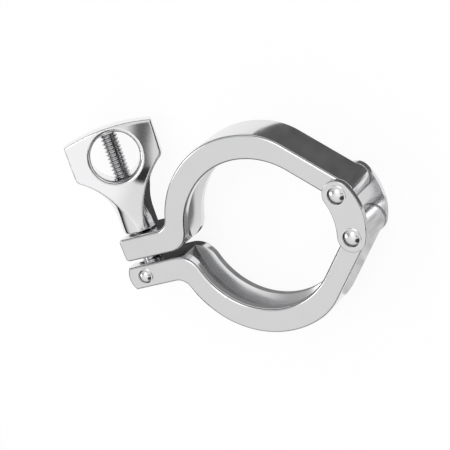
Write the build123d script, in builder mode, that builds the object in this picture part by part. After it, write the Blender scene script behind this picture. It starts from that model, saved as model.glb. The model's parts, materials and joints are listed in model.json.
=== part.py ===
"""Hinged clamp for sanitary tube joints, closed on a 64 mm ferrule flange.

The clamp lies on its side. The origin is the centre of the ring, on the plane where the two flanges
of a joint meet. +Z is the ring's axis, +X points from the eye bolt to the hinge, and the upper jaw
lies on the +Y side of the split. Lengths are in millimetres, angles in degrees.
"""
from build123d import *
from math import atan2, cos, degrees, radians, sin, sqrt, tan
import os

# Ring and groove
flange_dia = 64.0            # flange of the ferrule that the groove closes on
lip_dia = 56.0               # opening between the lips
floor_clearance = 0.6        # from the flange's rim to the groove's floor
groove_floor_width = 7.4
flank_angle = 20.0           # slope of the groove's flanks, as on the ferrules
groove_overrun = 2.0         # of the groove's cut, past the lips
ring_wall = 4.6              # outside the groove's floor, at the middle of a jaw
ring_rise = 1.7              # the outside is struck from this far above the ring's axis
jaw_width = 17.4             # along the ring's axis
edge_round = 1.0             # along the long edges of a jaw's faces

# Ears that the eye bolt pulls together
ear_gap = 2.2
ear_height = 8.8
bolt_reach = 49.8            # from the ring's axis to the bolt
upper_ear_overhang = 5.5     # from the bolt to the end of the upper ear
lower_ear_round = 7.1        # end of the lower ear, about the bolt's pin
ear_corner = 1.5
ear_root_fillet = 5.0        # between an ear's back and the ring
ear_throat_round = 9.0       # between an ear's face and the lips

# Hinge
run_angle = 45.0             # where the lips leave the ring and run straight to the pin
run_cut = 1.0                # depth of the run's flat back in from the ring's round
run_blend = 25.0             # between the ring's round and that flat
pin_spacing = 15.8
hinge_reach = 35.8           # from the ring's axis to the line through both pins
hinge_eye_r = 5.2            # end of a jaw, about its pin
hinge_corner = 1.3           # where the flat back meets the end
link_thickness = 2.2
link_end_r = 5.3
link_bulge = 7.3             # from the pins' line to the link's outer edge
link_waist = 4.1             # from the pins' line to the link's inner edge
link_side_clearance = 0.1    # between a link and the jaws
link_edge_round = 0.4

# Rivets
hinge_pin_dia = 4.0
hinge_head_dia = 7.2
bolt_pin_dia = 4.4
bolt_pin_head_dia = 6.2
head_rim_height = 0.35       # flat rim round the foot of the dome
head_rim_width = 0.45
head_height = 1.5
running_clearance = 0.05     # radial, round every pin that turns and round the bolt in its nut

# Eye bolt
bolt_dia = 6.35
bolt_eye_r = 4.7
bolt_eye_thickness = 6.0
bolt_eye_edge = 0.5
bolt_point = 0.8             # chamfer at the free end
bolt_lean = 1.9              # towards the ring, from square to the ears
slot_clearance = 0.35        # either side of the bolt in the ears
eye_clearance = 0.5          # from the bolt's eye to the end of the lower slot

# Wing nut
nut_lift = 0.65              # the nut is slack by this much, so that the bolt swings free
nut_turn = 30.0              # of the wings about the bolt
nut_base_dia = 13.4
nut_boss_height = 6.0
nut_flare_r = 21.0
nut_span = 33.6
wing_height = 37.3           # at the ends of the wings
crown_rise = 2.3             # of the top's middle above its ends
nut_top_thickness = 5.4
wing_corner = 2.5
nut_flat_start = 2.0         # the flats run out into the round boss here
window_dia = 17.6
window_height = 28.7
window_chamfer = 0.9
bolt_show = 35.8             # from the nut's seat to the bolt's free end

# Sizes that follow
lip_r = lip_dia / 2
floor_r = flange_dia / 2 + floor_clearance
outer_r = floor_r + ring_wall - ring_rise
mouth_r = lip_r - groove_overrun
half_gap = ear_gap / 2
ear_top = half_gap + ear_height
ear_mid = half_gap + ear_height / 2
upper_ear_end = bolt_reach + upper_ear_overhang
pin_y = pin_spacing / 2
pin_at = (hinge_reach, pin_y)
pin_along_run = hinge_reach * sin(radians(run_angle)) - pin_y * cos(radians(run_angle))
run_back = outer_r + ring_rise * sin(radians(run_angle)) - run_cut
run_start = ring_rise * cos(radians(run_angle)) + sqrt(outer_r ** 2 - (outer_r - run_cut) ** 2)
link_inner_z = jaw_width / 2 + link_side_clearance
link_outer_z = link_inner_z + link_thickness
slot_width = bolt_dia + 2 * slot_clearance
bolt_pin_at = (-bolt_reach, -ear_mid)
seat_reach = ear_top + nut_lift + ear_mid
slot_shift = (ear_top + ear_mid) * tan(radians(bolt_lean))
big = 4 * (upper_ear_end + outer_r)


radial = Location((0, 0, 0), (0, 0, run_angle))    # +X turned to point square out of the run


def nearest(vertices, x, y):
    """The corner of an outline that lies nearest to a point."""
    return vertices.sort_by_distance((x, y, 0))[0]


def hinge_end():
    """The end of a jaw's straight run: round below its pin, and squared off towards its flat back."""
    with BuildSketch() as end:
        with Locations(pin_at):
            Rectangle(hinge_eye_r, outer_r, align=(Align.MIN, Align.MIN))
        with Locations(radial):
            with Locations((run_back, 0)):
                Rectangle(big, big, align=(Align.MAX, Align.CENTER), mode=Mode.INTERSECT)
        fillet(end.vertices().group_by(Axis.X)[-1].sort_by(Axis.Y)[-1], hinge_corner)
        with Locations(pin_at):
            Circle(hinge_eye_r)
    return end.sketch


def jaw_outline(ear_end, rounded_end):
    """One jaw on the +Y side of the split, seen along the ring's axis."""
    with BuildSketch() as outline:
        with Locations((0, ring_rise)):
            Circle(outer_r)
        with Locations(radial):
            with Locations((run_back, 0)):
                Rectangle(big, big, align=(Align.MAX, Align.MIN), mode=Mode.INTERSECT)
        if rounded_end:
            with Locations((-bolt_reach, ear_mid)):
                Circle(lower_ear_round)
        with Locations((0, half_gap)):
            Rectangle(ear_end, ear_height, align=(Align.MAX, Align.MIN))
            Rectangle(big, big, align=(Align.CENTER, Align.MIN), mode=Mode.INTERSECT)
        if rounded_end:
            with Locations((-bolt_reach, ear_top)):
                Rectangle(2 * lower_ear_round, big, align=(Align.CENTER, Align.MIN), mode=Mode.SUBTRACT)
        with Locations(radial):
            with Locations((lip_r, -pin_along_run)):
                Rectangle(run_back - lip_r, pin_along_run, align=(Align.MIN, Align.MIN))
        add(hinge_end())
        Circle(lip_r, mode=Mode.SUBTRACT)
        run_corner = Vector(run_back, run_start, 0).rotate(Axis.Z, run_angle)
        fillet(nearest(outline.vertices(), run_corner.X, run_corner.Y), run_blend)
        ear_root_x = -sqrt(outer_r ** 2 - (ear_top - ring_rise) ** 2)
        fillet(nearest(outline.vertices(), ear_root_x, ear_top), ear_root_fillet)
        fillet(nearest(outline.vertices(), -sqrt(lip_r ** 2 - half_gap ** 2), half_gap), ear_throat_round)
        if not rounded_end:
            fillet(outline.vertices().group_by(Axis.X)[0], ear_corner)
    return outline.sketch


def jaw_blank(ear_end, rounded_end):
    """A jaw on the +Y side with its groove and its hinge hole."""
    with BuildPart() as blank:
        with BuildSketch(Plane.XY.offset(-jaw_width / 2)):
            add(jaw_outline(ear_end, rounded_end))
        extrude(amount=jaw_width)
        fillet(blank.faces().filter_by(Axis.Z).edges(), edge_round)
        with BuildSketch(Plane.XZ):
            with BuildLine():
                floor = groove_floor_width / 2
                mouth = floor + (floor_r - mouth_r) * tan(radians(flank_angle))
                Polyline((floor_r, -floor), (floor_r, floor), (mouth_r, mouth), (mouth_r, -mouth), close=True)
            make_face()
        revolve(axis=Axis.Z, mode=Mode.SUBTRACT)
        with BuildSketch():
            with Locations(pin_at):
                Circle(hinge_pin_dia / 2 + running_clearance)
        extrude(amount=jaw_width, both=True, mode=Mode.SUBTRACT)
    return blank.part


# Upper jaw: its ear has a slot that is open at the end, for the bolt to swing out of
with BuildPart() as upper_jaw:
    add(jaw_blank(upper_ear_end, rounded_end=False))
    with BuildSketch(Plane.XZ):
        with Locations((slot_shift - bolt_reach, 0)):
            Circle(slot_width / 2)
            Rectangle(big, slot_width, align=(Align.MAX, Align.CENTER))
    extrude(amount=-big, mode=Mode.SUBTRACT)
upper_jaw.part.label = "upper_jaw"


# Lower jaw: its ear is a fork that holds the eye of the bolt on a riveted pin
with BuildPart() as lower_jaw:
    mirror(jaw_blank(bolt_reach, rounded_end=True), about=Plane.XZ)
    with BuildSketch(Plane.XZ):
        with Locations((-bolt_reach + bolt_eye_r + eye_clearance, 0)):
            Rectangle(big, slot_width, align=(Align.MAX, Align.CENTER))
    extrude(amount=big, mode=Mode.SUBTRACT)
    with BuildSketch():
        with Locations(bolt_pin_at):
            Circle(bolt_pin_dia / 2)
    extrude(amount=jaw_width, both=True, mode=Mode.SUBTRACT)
lower_jaw.part.label = "lower_jaw"


def link_outline():
    """A crescent link: two round ends, an outer edge that bulges and an inner edge that is hollow."""
    rise = link_bulge - link_end_r
    outer_edge_r = link_end_r + (pin_y ** 2 + rise ** 2) / (2 * rise)
    outer_x = hinge_reach + link_bulge - outer_edge_r
    outer_half = degrees(atan2(pin_y, hinge_reach - outer_x))
    inner_edge_r = (pin_y ** 2 + link_waist ** 2 - link_end_r ** 2) / (2 * (link_end_r - link_waist))
    inner_x = hinge_reach - link_waist - inner_edge_r
    inner_half = degrees(atan2(pin_y, hinge_reach - inner_x))
    end_sweep = 180 + inner_half - outer_half
    with BuildSketch() as outline:
        with BuildLine():
            CenterArc((outer_x, 0), outer_edge_r, -outer_half, 2 * outer_half)
            CenterArc(pin_at, link_end_r, outer_half, end_sweep)
            CenterArc((inner_x, 0), inner_edge_r, -inner_half, 2 * inner_half)
            CenterArc((hinge_reach, -pin_y), link_end_r, 180 - inner_half, end_sweep)
        make_face()
        with Locations((hinge_reach, pin_y), (hinge_reach, -pin_y)):
            Circle(hinge_pin_dia / 2, mode=Mode.SUBTRACT)
    return outline.sketch


# Links: a plate on either face of the jaws' ends, riveted to both pins
with BuildPart() as front_link:
    with BuildSketch(Plane.XY.offset(link_inner_z)):
        add(link_outline())
    extrude(amount=link_thickness)
    rims = front_link.faces().sort_by(Axis.Z)[-1].outer_wire().edges()
    fillet(rims, link_edge_round)
front_link.part.label = "front_link"

with BuildPart() as rear_link:
    mirror(front_link.part, about=Plane.XY)
rear_link.part.label = "rear_link"


def rivet(place, shank_dia, head_dia, grip):
    """A rivet along Z with a domed head on either side of what it grips."""
    dome_r = head_dia / 2 - head_rim_width
    dome_rise = head_height - head_rim_height
    ball_r = (dome_r ** 2 + dome_rise ** 2) / (2 * dome_rise)
    dome_half = degrees(atan2(dome_r, ball_r - dome_rise))
    top = grip / 2 + head_height
    with BuildPart() as body:
        with BuildSketch(Plane(origin=(*place, 0), x_dir=(1, 0, 0), z_dir=(0, -1, 0))):
            with BuildLine():
                dome = CenterArc((0, top - ball_r), ball_r, 90 - dome_half, dome_half)
                Polyline(dome @ 0, (head_dia / 2, grip / 2 + head_rim_height), (head_dia / 2, grip / 2),
                         (shank_dia / 2, grip / 2), (shank_dia / 2, 0), (0, 0), dome @ 1)
            make_face()
            mirror(about=Plane.XZ)
        revolve(axis=Axis((*place, 0), (0, 0, 1)))
    return body.part


link_grip = 2 * link_outer_z

with BuildPart() as upper_hinge_pin:
    add(rivet(pin_at, hinge_pin_dia, hinge_head_dia, link_grip))
upper_hinge_pin.part.label = "upper_hinge_pin"

with BuildPart() as lower_hinge_pin:
    add(rivet((hinge_reach, -pin_y), hinge_pin_dia, hinge_head_dia, link_grip))
lower_hinge_pin.part.label = "lower_hinge_pin"

with BuildPart() as bolt_pin:
    add(rivet(bolt_pin_at, bolt_pin_dia, bolt_pin_head_dia, jaw_width))
bolt_pin.part.label = "bolt_pin"


# Eye bolt: a flat eye on the pin and a threaded shank through both ears
lean = radians(bolt_lean)
along_bolt = Vector(sin(lean), cos(lean), 0)
off_bolt = Vector(cos(lean), -sin(lean), 0)
bolt_foot = Vector(*bolt_pin_at, 0)

with BuildPart() as eye_bolt:
    with BuildSketch(Plane.XY.offset(-bolt_eye_thickness / 2)):
        with Locations(bolt_pin_at):
            Circle(bolt_eye_r)
    extrude(amount=bolt_eye_thickness)
    chamfer(eye_bolt.edges().filter_by(GeomType.CIRCLE), bolt_eye_edge)
    with BuildSketch(Plane(origin=bolt_foot, x_dir=off_bolt, z_dir=along_bolt)):
        Circle(bolt_dia / 2)
    extrude(amount=seat_reach + bolt_show)
    chamfer(eye_bolt.faces().sort_by(Axis(bolt_foot, along_bolt))[-1].edges(), bolt_point)
    with BuildSketch():
        with Locations(bolt_pin_at):
            Circle(bolt_pin_dia / 2 + running_clearance)
    extrude(amount=jaw_width, both=True, mode=Mode.SUBTRACT)
eye_bolt.part.label = "eye_bolt"


# Wing nut: a turned trumpet, milled flat and tapering on two sides, with a window through the flats
turn = radians(nut_turn)
across = off_bolt * cos(turn) - Vector(0, 0, sin(turn))     # along the wings
facing = off_bolt * sin(turn) + Vector(0, 0, cos(turn))     # square to the flats
nut_seat = bolt_foot + along_bolt * seat_reach
nut_face = Plane(origin=nut_seat, x_dir=across, z_dir=facing)
nut_side = Plane(origin=nut_seat, x_dir=facing, z_dir=-across)
base_r = nut_base_dia / 2
half_span = nut_span / 2
flare_out = half_span - base_r
flare_top = nut_boss_height + sqrt(nut_flare_r ** 2 - (nut_flare_r - flare_out) ** 2)
crown_height = wing_height + crown_rise
crown_r = (half_span ** 2 + crown_rise ** 2) / (2 * crown_rise)
flare_end_angle = degrees(atan2(flare_top - nut_boss_height, flare_out - nut_flare_r))
blank_top = crown_height + crown_rise
flat_half = nut_top_thickness / 2
flats_meet = nut_flat_start + (crown_height - nut_flat_start) * base_r / (base_r - flat_half)

with BuildPart() as wing_nut:
    with BuildSketch(nut_face) as profile:
        with BuildLine():
            flare = CenterArc((base_r + nut_flare_r, nut_boss_height), nut_flare_r,
                              flare_end_angle, 180 - flare_end_angle)
            Polyline(flare @ 0, (half_span, blank_top), (0, blank_top), (0, 0), (base_r, 0), flare @ 1)
        make_face()
        fillet(nearest(profile.vertices(), half_span, flare_top), wing_corner)
    revolve(axis=Axis(nut_seat, along_bolt))
    with BuildSketch(nut_side):
        with BuildLine():
            Polyline((0, flats_meet), (base_r, nut_flat_start), (base_r, 0), (-base_r, 0),
                     (-base_r, nut_flat_start), close=True)
        make_face()
    extrude(amount=nut_span, both=True, mode=Mode.INTERSECT)
    with BuildSketch(nut_face):
        with Locations((0, crown_height - crown_r)):
            Circle(crown_r)
    extrude(amount=nut_base_dia, both=True, mode=Mode.INTERSECT)
    with BuildSketch(nut_face):
        with Locations((0, window_height)):
            Circle(window_dia / 2)
    extrude(amount=base_r, both=True, mode=Mode.SUBTRACT)
    flats = wing_nut.faces().filter_by(GeomType.PLANE).sort_by(SortBy.AREA)[-2:]
    chamfer([edge for flat in flats for wire in flat.inner_wires() for edge in wire.edges()], window_chamfer)
    with BuildSketch(Plane(origin=nut_seat, x_dir=off_bolt, z_dir=along_bolt)):
        Circle(bolt_dia / 2 + running_clearance)
    extrude(amount=window_height, mode=Mode.SUBTRACT)
wing_nut.part.label = "wing_nut"


os.makedirs("parts", exist_ok=True)
export_step(upper_jaw.part, "parts/upper_jaw.step")
export_step(lower_jaw.part, "parts/lower_jaw.step")
export_step(front_link.part, "parts/front_link.step")
export_step(rear_link.part, "parts/rear_link.step")
export_step(upper_hinge_pin.part, "parts/upper_hinge_pin.step")
export_step(lower_hinge_pin.part, "parts/lower_hinge_pin.step")
export_step(bolt_pin.part, "parts/bolt_pin.step")
export_step(eye_bolt.part, "parts/eye_bolt.step")
export_step(wing_nut.part, "parts/wing_nut.step")
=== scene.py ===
# %% [markdown]
# # A hinged tube clamp in polished stainless steel
# The clamp is two grooved half rings that turn on riveted links and are drawn shut by a swing bolt
# with a wing nut. It lies on its side, with the ring's axis upright, and everything is in metres.
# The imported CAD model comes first: it fixes the size and the place of every part.

# %% Load the frame
import json
from math import cos, pi, radians, sin

import bmesh
import bpy
from mathutils import Matrix, Vector


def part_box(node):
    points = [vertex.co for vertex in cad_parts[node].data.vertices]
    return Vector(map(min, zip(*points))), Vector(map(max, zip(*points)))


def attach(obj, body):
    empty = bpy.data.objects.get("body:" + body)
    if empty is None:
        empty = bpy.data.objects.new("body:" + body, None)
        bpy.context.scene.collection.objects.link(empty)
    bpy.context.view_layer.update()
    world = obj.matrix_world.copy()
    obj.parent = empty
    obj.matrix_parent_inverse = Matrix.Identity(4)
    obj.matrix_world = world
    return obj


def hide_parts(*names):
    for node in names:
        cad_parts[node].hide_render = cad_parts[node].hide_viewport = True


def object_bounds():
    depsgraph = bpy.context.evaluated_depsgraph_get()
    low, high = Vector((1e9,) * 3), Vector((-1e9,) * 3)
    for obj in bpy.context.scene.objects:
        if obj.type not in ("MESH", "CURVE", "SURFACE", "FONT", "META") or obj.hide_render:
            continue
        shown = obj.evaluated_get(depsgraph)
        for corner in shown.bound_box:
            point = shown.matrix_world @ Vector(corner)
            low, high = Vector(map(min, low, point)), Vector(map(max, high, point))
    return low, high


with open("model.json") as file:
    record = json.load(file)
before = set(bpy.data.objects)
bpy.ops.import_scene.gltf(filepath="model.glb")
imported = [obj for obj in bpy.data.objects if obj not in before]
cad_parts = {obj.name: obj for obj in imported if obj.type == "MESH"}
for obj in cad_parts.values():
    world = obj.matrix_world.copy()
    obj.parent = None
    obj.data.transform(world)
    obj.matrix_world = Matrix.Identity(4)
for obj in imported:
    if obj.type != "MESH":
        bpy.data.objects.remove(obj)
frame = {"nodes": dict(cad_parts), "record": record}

nodes = frame["nodes"]
mm = 0.001
weld = 0.001 * mm
smooth_angle = radians(35)
cad_box = [list(corner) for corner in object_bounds()]
print("CAD box in mm:", [[round(1000 * c, 2) for c in corner] for corner in cad_box])

# %% [markdown]
# ## Camera
# The camera looks down on the clamp's front face from the hinge's side, with a long lens, so the
# ring is only a little flattened. Its axes are written out as three columns: right, up and back.

# %% Place the camera
right = Vector((0.8409, -0.3485, -0.4141))
up = Vector((0.2008, 0.9114, -0.3593))
back = right.cross(up)
camera_place = (0.3215, 0.1510, 0.56095)
turn = Matrix((right, up, back)).transposed().to_4x4()
bpy.ops.object.camera_add()
camera = bpy.context.object
camera.name = "camera"
camera.matrix_world = Matrix.Translation(camera_place) @ turn
camera.data.sensor_width = 36
camera.data.lens = 150.4
camera.data.clip_start = 0.01
bpy.context.scene.camera = camera

# %% [markdown]
# ## Polished steel
# The parts are cast or pressed and then polished on a belt and a wheel, so the metal is nearly a
# mirror, with a faint haze that differs from place to place. The colour is that of the metal's
# reflection, but the bolt's is darkened: painted shade that stands in for the shade in its thread.
# Noise in the roughness makes the haze, and a little bump makes the reflections waver.


# %% A helper for node materials
def steel(name, colour, roughness, haze, grain_size, grain_depth, swell_depth=0.0):
    """A polished steel whose haze, fine grain and slow swell come from noise on Object coordinates."""
    made = bpy.data.materials.new(name)
    made.use_nodes = True
    tree = made.node_tree
    link = tree.links.new
    shader = tree.nodes["Principled BSDF"]
    shader.inputs["Metallic"].default_value = 1.0
    place = tree.nodes.new("ShaderNodeTexCoord")

    cloud = tree.nodes.new("ShaderNodeTexNoise")
    cloud.inputs["Scale"].default_value = 140.0
    cloud.inputs["Detail"].default_value = 4.0
    link(place.outputs["Object"], cloud.inputs["Vector"])
    spread = tree.nodes.new("ShaderNodeMapRange")
    spread.inputs["From Min"].default_value = 0.3
    spread.inputs["From Max"].default_value = 0.7
    spread.inputs["To Min"].default_value = roughness - haze
    spread.inputs["To Max"].default_value = roughness + haze
    link(cloud.outputs["Fac"], spread.inputs["Value"])
    link(spread.outputs["Result"], shader.inputs["Roughness"])

    tint = tree.nodes.new("ShaderNodeMix")
    tint.data_type = "RGBA"
    tint.inputs["A"].default_value = (*[0.94 * c for c in colour], 1)
    tint.inputs["B"].default_value = (*colour, 1)
    link(cloud.outputs["Fac"], tint.inputs["Factor"])
    link(tint.outputs["Result"], shader.inputs["Base Color"])

    grain = tree.nodes.new("ShaderNodeTexNoise")
    grain.inputs["Scale"].default_value = 1.0 / grain_size
    grain.inputs["Detail"].default_value = 3.0
    link(place.outputs["Object"], grain.inputs["Vector"])
    fine = tree.nodes.new("ShaderNodeBump")
    fine.inputs["Strength"].default_value = 1.0
    fine.inputs["Distance"].default_value = grain_depth
    link(grain.outputs["Fac"], fine.inputs["Height"])
    swell = tree.nodes.new("ShaderNodeTexNoise")
    swell.inputs["Scale"].default_value = 60.0
    swell.inputs["Detail"].default_value = 0.0
    link(place.outputs["Object"], swell.inputs["Vector"])
    slow = tree.nodes.new("ShaderNodeBump")
    slow.inputs["Strength"].default_value = 1.0
    slow.inputs["Distance"].default_value = swell_depth
    link(swell.outputs["Fac"], slow.inputs["Height"])
    link(slow.outputs["Normal"], fine.inputs["Normal"])
    link(fine.outputs["Normal"], shader.inputs["Normal"])
    return made


# %% Mix the finishes
pale, bright, brightest, shaded_dull = ((grey, grey, grey + 0.01) for grey in (0.80, 0.84, 0.86, 0.55))
belt = (0.18, 0.03, 0.4 * mm, 0.003 * mm, 0.02 * mm)
finishes = {
    "jaw_steel": steel("polished_jaw", pale, *belt),
    "link_steel": steel("polished_link", pale, *belt),
    "rivet_steel": steel("polished_rivet", bright, 0.10, 0.02, 0.4 * mm, 0.002 * mm),
    # The bolt's steel is far darker than the rest. That is painted shade for the shade between the
    # thread's teeth; its slightly hazier machined finish is real.
    "bolt_steel": steel("machined_bolt_painted_shade", shaded_dull, 0.20, 0.05, 0.2 * mm, 0.004 * mm),
    "nut_steel": steel("polished_nut", brightest, 0.06, 0.015, 0.5 * mm, 0.002 * mm, 0.03 * mm),
}

# %% Give the CAD nodes their finish
for part in frame["record"]["subparts"]:
    skin = nodes[part["node"]].data
    skin.materials.clear()
    skin.materials.append(finishes[part["material_slot"]])
    print(part["node"], "is finished as", part["material_slot"])

# %% [markdown]
# ## Tools for modelling
# An operator acts on all that is selected, so each step starts by deselecting everything. A piece is
# modelled standing on the origin along +Z, and then moved and turned as a whole: its place is
# applied, so that the mesh carries it and the object stays at the origin.


# %% Selection helpers
def take(piece):
    """Make one object the only one selected, and the active one."""
    bpy.ops.object.select_all(action="DESELECT")
    piece.select_set(True)
    bpy.context.view_layer.objects.active = piece


def apply_modifiers(piece):
    """Apply a piece's modifiers from the top down."""
    take(piece)
    for name in [modifier.name for modifier in piece.modifiers]:
        bpy.ops.object.modifier_apply(modifier=name)


def merged_copy(node, name):
    """A copy of a CAD node whose loose triangles are merged into one skin."""
    copy = nodes[node].copy()
    copy.data = nodes[node].data.copy()
    copy.name = name
    for key in list(copy.keys()):
        del copy[key]
    copy.parent = None
    copy.matrix_world = Matrix.Identity(4)
    bpy.context.scene.collection.objects.link(copy)
    take(copy)
    bpy.ops.object.mode_set(mode="EDIT")
    bpy.ops.mesh.customdata_custom_splitnormals_clear()
    bpy.ops.mesh.select_all(action="SELECT")
    bpy.ops.mesh.remove_doubles(threshold=weld)
    bpy.ops.mesh.normals_make_consistent(inside=False)
    bpy.ops.object.mode_set(mode="OBJECT")
    return copy


def settle(piece, body, slot, *replaced):
    """Give a finished piece the material of its slot, and let it ride in place of its CAD nodes."""
    piece.data.materials.clear()
    piece.data.materials.append(finishes[slot])
    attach(piece, body)
    if replaced:
        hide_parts(*replaced)
    print(piece.name, "has", len(piece.data.polygons), "faces")


# %% [markdown]
# ## Eye bolt
# The bolt has a flat eye on the lower jaw's pin and a coarse thread up to its chamfered end. The
# thread shows in the nut's window, so it is a real helix: the outline of one tooth is swept round the
# axis by a Screw modifier, which climbs by one pitch in each turn. A bisect at either end closes it,
# and a chamfered cylinder trims its point. The eye is the CAD one, cut off where the thread starts.
# The thickness is that of the CAD bolt. The pitch is coarser than a standard thread so thick has.

# %% Sizes of the bolt
joints = {joint["name"]: joint for joint in frame["record"]["behaviour"]["joints"]}
bolt_foot = Vector(joints["bolt_swing"]["pos_m"])
bolt_way = Vector(joints["nut_travel"]["axis"]).normalized()
bolt_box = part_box("eye_bolt")
bolt_dia = bolt_box[1][2] - bolt_box[0][2]
bolt_r = bolt_dia / 2
thread_proud = 1.2 * mm
lean_rise = 0.08 * mm  # the leaning bolt's outer corner stands this much above its axis' end
bolt_length = (bolt_box[1][1] - bolt_foot.y) / bolt_way.y - lean_rise + thread_proud
thread_pitch = 1.41 * mm
thread_depth = 0.70 * mm
thread_start = 7.0 * mm
bolt_turn = Vector((0, 0, 1)).rotation_difference(bolt_way)
bolt_place = Matrix.Translation(bolt_foot) @ bolt_turn.to_matrix().to_4x4()
print("bolt in mm:", round(1000 * bolt_dia, 2), "by", round(1000 * bolt_length, 2))

# %% One tooth of the thread, from a plane's corner that is extruded from point to point
bpy.ops.object.select_all(action="DESELECT")
bpy.ops.mesh.primitive_plane_add(size=bolt_dia, location=(0, 0, 0))
thread = bpy.context.object
thread.name = "bolt_thread"
root_r = bolt_r - thread_depth
mesh = thread.data
bpy.ops.object.mode_set(mode="EDIT")
bpy.ops.mesh.select_mode(type="VERT")
bpy.ops.mesh.select_all(action="DESELECT")
edit = bmesh.from_edit_mesh(mesh)
for vertex in edit.verts:
    vertex.select = not (vertex.co.x > 0 and vertex.co.y > 0)
bmesh.update_edit_mesh(mesh)
bpy.ops.mesh.delete(type="VERT")
bpy.ops.mesh.select_all(action="SELECT")
bpy.ops.transform.translate(value=(root_r - bolt_r, -bolt_r, thread_start - thread_pitch))
tooth_steps = ((0, 0.25), (thread_depth, 0.30), (0, 0.15), (-thread_depth, 0.30))
for outwards, share in tooth_steps:
    step = (outwards, 0, share * thread_pitch)
    bpy.ops.mesh.extrude_region_move(TRANSFORM_OT_translate={"value": step})
bpy.ops.object.mode_set(mode="OBJECT")
print("tooth has", len(mesh.vertices), "points")

# %% Sweep the tooth and close the ends
steps_per_turn = 36
sweep = thread.modifiers.new("sweep", "SCREW")
sweep.axis = "Z"
sweep.angle = 2 * pi
sweep.screw_offset = thread_pitch
sweep.iterations = int((bolt_length - thread_start) / thread_pitch) + 2
sweep.steps = steps_per_turn
sweep.render_steps = steps_per_turn
sweep.use_merge_vertices = True
sweep.merge_threshold = weld
apply_modifiers(thread)
bpy.ops.object.mode_set(mode="EDIT")
for height, above in ((thread_start, False), (bolt_length, True)):
    bpy.ops.mesh.select_all(action="SELECT")
    bpy.ops.mesh.bisect(plane_co=(0, 0, height), plane_no=(0, 0, 1), use_fill=True,
                        clear_inner=not above, clear_outer=above)
bpy.ops.mesh.select_all(action="SELECT")
bpy.ops.mesh.remove_doubles(threshold=weld)
bpy.ops.mesh.normals_make_consistent(inside=False)
bpy.ops.object.mode_set(mode="OBJECT")
print("thread has", len(thread.data.polygons), "faces")

# %% Trim the point with a chamfered cylinder
point_chamfer = 0.8 * mm
bpy.ops.object.select_all(action="DESELECT")
bpy.ops.mesh.primitive_cylinder_add(vertices=96, radius=bolt_r, depth=2 * bolt_length)
trim = bpy.context.object
bpy.ops.object.mode_set(mode="EDIT")
bpy.ops.mesh.select_mode(type="EDGE")
bpy.ops.mesh.select_all(action="DESELECT")
edit = bmesh.from_edit_mesh(trim.data)
for edge in edit.edges:
    edge.select = all(vertex.co.z > 0 for vertex in edge.verts)
bmesh.update_edit_mesh(trim.data)
bpy.ops.mesh.bevel(offset=point_chamfer, segments=1)
bpy.ops.object.mode_set(mode="OBJECT")
cut = thread.modifiers.new("cut", "BOOLEAN")
cut.operation = "INTERSECT"
cut.solver = "EXACT"
cut.object = trim
apply_modifiers(thread)
bpy.data.objects.remove(trim)
take(thread)
thread.matrix_world = bolt_place
bpy.ops.object.transform_apply(location=True, rotation=True, scale=True)
bpy.ops.object.shade_smooth_by_angle(angle=smooth_angle)
settle(thread, "eye_bolt", "bolt_steel")

# %% The eye, cut from the CAD bolt
eye = merged_copy("eye_bolt", "bolt_eye")
take(eye)
bpy.ops.object.mode_set(mode="EDIT")
bpy.ops.mesh.select_all(action="SELECT")
bpy.ops.mesh.bisect(plane_co=bolt_foot + bolt_way * thread_start, plane_no=bolt_way, use_fill=True,
                    clear_outer=True)
bpy.ops.object.mode_set(mode="OBJECT")
bpy.ops.object.shade_smooth_by_angle(angle=smooth_angle)
settle(eye, "eye_bolt", "bolt_steel", "eye_bolt")

# %% [markdown]
# ## Wing nut
# The nut is forged and then polished hard, so every edge of the CAD form is worn to a soft round. A
# Remesh modifier lays an even net over a copy of it, and a Smooth modifier draws that net tight over
# the edges, as a polishing wheel does.

# %% Lay the net and draw it tight
nut = merged_copy("wing_nut", "polished_wing_nut")
net = nut.modifiers.new("net", "REMESH")
net.mode = "VOXEL"
net_size = 0.3 * mm
net.voxel_size = net_size
net.use_smooth_shade = True
wheel = nut.modifiers.new("wheel", "SMOOTH")
wheel.factor = 0.5
wheel_strokes = 14
wheel.iterations = wheel_strokes
apply_modifiers(nut)
print("net of", round(1000 * net_size, 2), "mm laid over the nut")

# %% [markdown]
# Hand polishing also leaves the flats a little convex, so they mirror the room's light side on the
# left and its dark side on the right. The nut is thickened in proportion: most over the bolt's axis,
# not at all at the ends of the wings or at the round foot.

# %% Crown the flats
nut_turn = radians(30)
off_bolt = Vector((bolt_way.y, -bolt_way.x, 0))
wing_way = off_bolt * cos(nut_turn) - Vector((0, 0, sin(nut_turn)))
flat_way = wing_way.cross(bolt_way).normalized()
half_span = max(abs((v.co - bolt_foot).dot(wing_way)) for v in nut.data.vertices)
foot_height = min((v.co - bolt_foot).dot(bolt_way) for v in nut.data.vertices)
flat_crown = 0.30
crown_climb = 22 * mm
for vertex in nut.data.vertices:
    offset = vertex.co - bolt_foot
    climb = min(max((offset.dot(bolt_way) - foot_height) / crown_climb, 0), 1)
    climb = climb ** 2 * (3 - 2 * climb)
    reach = offset.dot(wing_way) / half_span
    vertex.co += flat_way * offset.dot(flat_way) * flat_crown * climb * (1 - reach ** 2)
print("half span", round(1000 * half_span, 2), "mm")
settle(nut, "wing_nut", "nut_steel", "wing_nut")

# %% [markdown]
# ## Floor and light
# Polished steel shows what stands round it, so the studio is part of the finish. The camera sees a
# white floor that keeps a faint shadow. The sky is a large soft dome, dim at the horizon, so that
# rounded edges get a dark line. Dark cards that only the reflections see lie on the floor and shade
# the walls of the jaws. Patches of the sky shade or light the rivets and the wing nut. They are set
# for the camera's view, so from other sides the reflections are less orderly.

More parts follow.
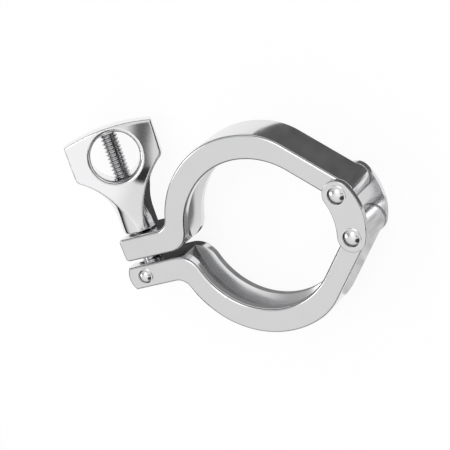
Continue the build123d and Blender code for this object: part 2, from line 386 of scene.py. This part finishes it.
# %% Floor
floor_z = cad_box[0][2]
bpy.ops.object.select_all(action="DESELECT")
bpy.ops.mesh.primitive_plane_add(size=3.0, location=(0, 0, floor_z))
floor = bpy.context.object
floor.name = "floor"
paper = bpy.data.materials.new("paper")
paper.use_nodes = True
tree = paper.node_tree
sheet = tree.nodes["Principled BSDF"]
sheet.inputs["Base Color"].default_value = (0.9, 0.9, 0.9, 1)
sheet.inputs["Roughness"].default_value = 0.9
sheet.inputs["Specular IOR Level"].default_value = 0.0
glow = tree.nodes.new("ShaderNodeEmission")
glow.inputs["Strength"].default_value = 1.06
path = tree.nodes.new("ShaderNodeLightPath")
seen = tree.nodes.new("ShaderNodeMath")
seen.operation = "MAXIMUM"
share = tree.nodes.new("ShaderNodeMath")
share.operation = "MULTIPLY"
share.inputs[1].default_value = 0.85
pick = tree.nodes.new("ShaderNodeMixShader")
tree.links.new(path.outputs["Is Camera Ray"], seen.inputs[0])
tree.links.new(path.outputs["Is Glossy Ray"], seen.inputs[1])
tree.links.new(seen.outputs[0], share.inputs[0])
tree.links.new(share.outputs[0], pick.inputs["Fac"])
tree.links.new(sheet.outputs[0], pick.inputs[1])
tree.links.new(glow.outputs[0], pick.inputs[2])
tree.links.new(pick.outputs[0], tree.nodes["Material Output"].inputs["Surface"])
floor.data.materials.append(paper)

# %% Sky
world = bpy.data.worlds.new("studio")
bpy.context.scene.world = world
world.use_nodes = True
sky = world.node_tree
sky_light = sky.nodes["Background"]
sky_light.inputs["Strength"].default_value = 1.0
way = sky.nodes.new("ShaderNodeTexCoord")
parts = sky.nodes.new("ShaderNodeSeparateXYZ")
ramp = sky.nodes.new("ShaderNodeValToRGB")
sky.links.new(way.outputs["Generated"], parts.inputs["Vector"])
sky.links.new(parts.outputs["Z"], ramp.inputs["Fac"])
stops = ((0.0, 0.02), (0.25, 0.05), (0.45, 0.50), (0.62, 0.78), (1.0, 0.88))
ramp.color_ramp.elements.remove(ramp.color_ramp.elements[1])
ramp.color_ramp.elements[0].position = stops[0][0]
ramp.color_ramp.elements[0].color = (stops[0][1],) * 3 + (1,)
for place, value in stops[1:]:
    ramp.color_ramp.elements.new(place).color = (value, value, value, 1)
print("sky has", len(stops), "stops from the horizon up")


# %% A patch of sky that is lighter or darker than the rest
def sky_patch(colour, towards, outer, inner, value):
    """Blend one grey into the sky round a direction, from none at the outer angle to full inside."""
    aim = sky.nodes.new("ShaderNodeVectorMath")
    aim.operation = "DOT_PRODUCT"
    aim.inputs[1].default_value = Vector(towards).normalized()
    sky.links.new(way.outputs["Generated"], aim.inputs[0])
    edge = sky.nodes.new("ShaderNodeMapRange")
    edge.interpolation_type = "SMOOTHSTEP"
    edge.inputs["From Min"].default_value = cos(radians(outer))
    edge.inputs["From Max"].default_value = cos(radians(inner))
    sky.links.new(aim.outputs["Value"], edge.inputs["Value"])
    blend = sky.nodes.new("ShaderNodeMix")
    blend.data_type = "RGBA"
    blend.inputs["B"].default_value = (value, value, value, 1)
    sky.links.new(edge.outputs["Result"], blend.inputs["Factor"])
    sky.links.new(colour, blend.inputs["A"])
    return blend.outputs["Result"]


# %% Paint the sky: a direction, the outer and inner angles in degrees, and a grey
patches = (
    ((0.41, -0.58, 0.60), 24, 14, 0.05),
    ((0.15, 0.05, 0.98), 24, 12, 1.06),
    ((0.588, -0.02, 0.809), 6.5, 3.0, 0.03),
    ((0.88, -0.10, 0.46), 20, 11, 0.03),
    ((0.15, 0.45, 0.86), 16, 9, 2.2),
    ((-0.50, 0.42, 0.75), 20, 10, 0.42),
    ((-0.74, 0.25, 0.62), 12, 7, 3.0),
)
sky_colour = ramp.outputs["Color"]
for patch in patches:
    sky_colour = sky_patch(sky_colour, *patch)
sky.links.new(sky_colour, sky_light.inputs["Color"])


# %% Dark cards
def dark_card(name, centre, size, roll, value):
    """A flat card of one grey, lying on the floor, that only reflections see."""
    bpy.ops.object.select_all(action="DESELECT")
    bpy.ops.mesh.primitive_plane_add(size=1.0)
    card = bpy.context.object
    card.name = name
    place = Matrix.Translation((*centre, floor_z + card_lift))
    card.matrix_world = place @ Matrix.Rotation(roll, 4, "Z") @ Matrix.Diagonal((*size, 1, 1))
    card.visible_camera = False
    card.visible_diffuse = False
    card.visible_shadow = False
    cloth = bpy.data.materials.new(name)
    cloth.use_nodes = True
    black = cloth.node_tree.nodes["Principled BSDF"]
    black.inputs["Base Color"].default_value = (0, 0, 0, 1)
    black.inputs["Roughness"].default_value = 1.0
    black.inputs["Specular IOR Level"].default_value = 0.0
    black.inputs["Emission Color"].default_value = (value, value, value, 1)
    blotch = cloth.node_tree.nodes.new("ShaderNodeTexNoise")
    blotch.inputs["Scale"].default_value = 12.0
    uneven = cloth.node_tree.nodes.new("ShaderNodeMapRange")
    uneven.inputs["From Min"].default_value = 0.35
    uneven.inputs["From Max"].default_value = 0.65
    uneven.inputs["To Min"].default_value = 0.85
    uneven.inputs["To Max"].default_value = 1.15
    cloth.node_tree.links.new(blotch.outputs["Fac"], uneven.inputs["Value"])
    cloth.node_tree.links.new(uneven.outputs["Result"], black.inputs["Emission Strength"])
    card.data.materials.append(cloth)


# %% Lay the cards
card_lift = 0.1 * mm
dark_card("jaw_card", (0.0476, 0.0464), (0.090, 0.060), radians(-45), 0.12)
dark_card("ear_card", (-0.047, 0.007), (0.034, 0.030), 0.0, 0.06)
dark_card("ring_card", (-0.002, -0.014), (0.050, 0.030), 0.0, 0.26)
dark_card("side_card", (0.048, -0.034), (0.050, 0.050), radians(-45), 0.62)

# %% Look at the result as it is meant to be seen
bpy.context.scene.view_settings.view_transform = "Standard"
